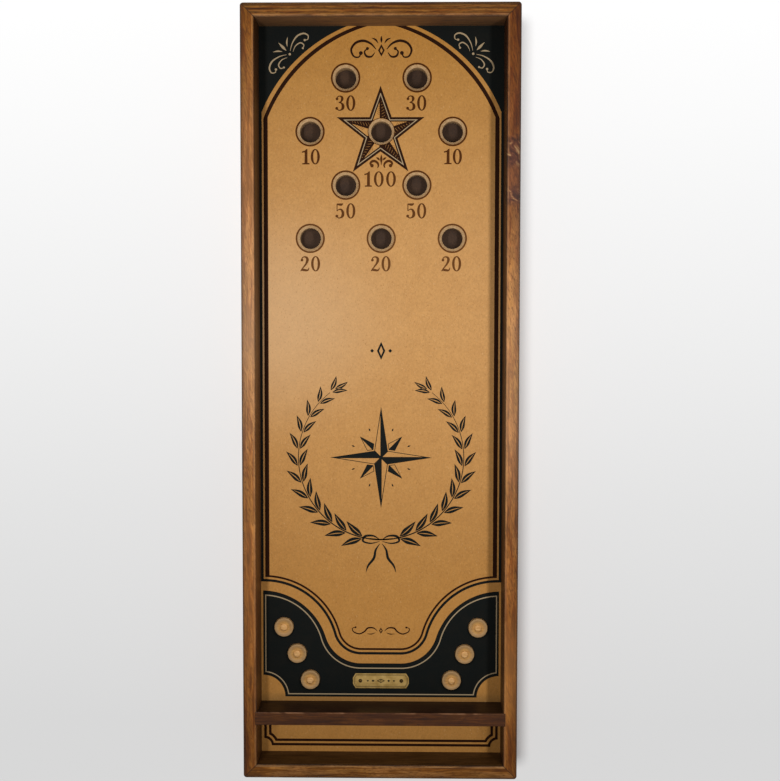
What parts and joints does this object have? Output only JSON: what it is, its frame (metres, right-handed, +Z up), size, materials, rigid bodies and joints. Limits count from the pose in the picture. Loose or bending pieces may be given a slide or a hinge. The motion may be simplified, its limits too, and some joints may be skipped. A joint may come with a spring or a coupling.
{
  "type": "bagatelle board game",
  "caption": "Bagatelle board: long wooden tray with a drilled, printed playing panel, a trough behind a crossbar, a brass plate and turned counters that lift out.",
  "frame": {"origin": "on the table, under the middle of the board", "axes": "+X across the board to the right, +Y up the board to the far end with the scoring holes, +Z up"},
  "size_m": [0.357, 1, 0.075],
  "materials": {
    "stained_rail_wood": "brown stained hardwood, satin varnish, worn arrises",
    "dark_bar_wood": "dark brown stained hardwood, satin varnish",
    "joinery_beech": "bare beech tongues and dowels",
    "printed_fibreboard": "fibreboard, kraft coloured, printed in black and dark brown, satin lacquer",
    "dark_hardboard": "dark brown hardboard, smooth face up",
    "turned_beech": "turned beech, waxed",
    "knob_beech": "turned beech peg, waxed",
    "plate_brass": "brushed brass, lightly tarnished",
    "pin_brass": "darkened brass",
    "screw_steel": "yellow zinc plated steel"
  },
  "bodies": {
    "board": {"near_rail": "stained_rail_wood", "far_rail": "stained_rail_wood", "left_rail": "stained_rail_wood", "right_rail": "stained_rail_wood", "far_left_spline": "joinery_beech", "far_right_spline": "joinery_beech", "near_left_spline": "joinery_beech", "near_right_spline": "joinery_beech", "playing_panel": "printed_fibreboard", "base_panel": "dark_hardboard", "crossbar": "dark_bar_wood", "crossbar_dowels": "joinery_beech", "name_plate": "plate_brass", "plate_pins": "pin_brass", "base_screws": "screw_steel"},
    "counter_1": {"counter_disc_1": "turned_beech", "counter_knob_1": "knob_beech"},
    "counter_2": {"counter_disc_2": "turned_beech", "counter_knob_2": "knob_beech"},
    "counter_3": {"counter_disc_3": "turned_beech", "counter_knob_3": "knob_beech"},
    "counter_4": {"counter_disc_4": "turned_beech", "counter_knob_4": "knob_beech"},
    "counter_5": {"counter_disc_5": "turned_beech", "counter_knob_5": "knob_beech"},
    "counter_6": {"counter_disc_6": "turned_beech", "counter_knob_6": "knob_beech"}
  },
  "joints": [
    {"name": "counter_1_lift", "type": "slide", "parent": "board", "child": "counter_1", "axis": [0, 0, 1], "range_m": [0, 0.08]},
    {"name": "counter_2_lift", "type": "slide", "parent": "board", "child": "counter_2", "axis": [0, 0, 1], "range_m": [0, 0.08]},
    {"name": "counter_3_lift", "type": "slide", "parent": "board", "child": "counter_3", "axis": [0, 0, 1], "range_m": [0, 0.08]},
    {"name": "counter_4_lift", "type": "slide", "parent": "board", "child": "counter_4", "axis": [0, 0, 1], "range_m": [0, 0.08]},
    {"name": "counter_5_lift", "type": "slide", "parent": "board", "child": "counter_5", "axis": [0, 0, 1], "range_m": [0, 0.08]},
    {"name": "counter_6_lift", "type": "slide", "parent": "board", "child": "counter_6", "axis": [0, 0, 1], "range_m": [0, 0.08]}
  ]
}
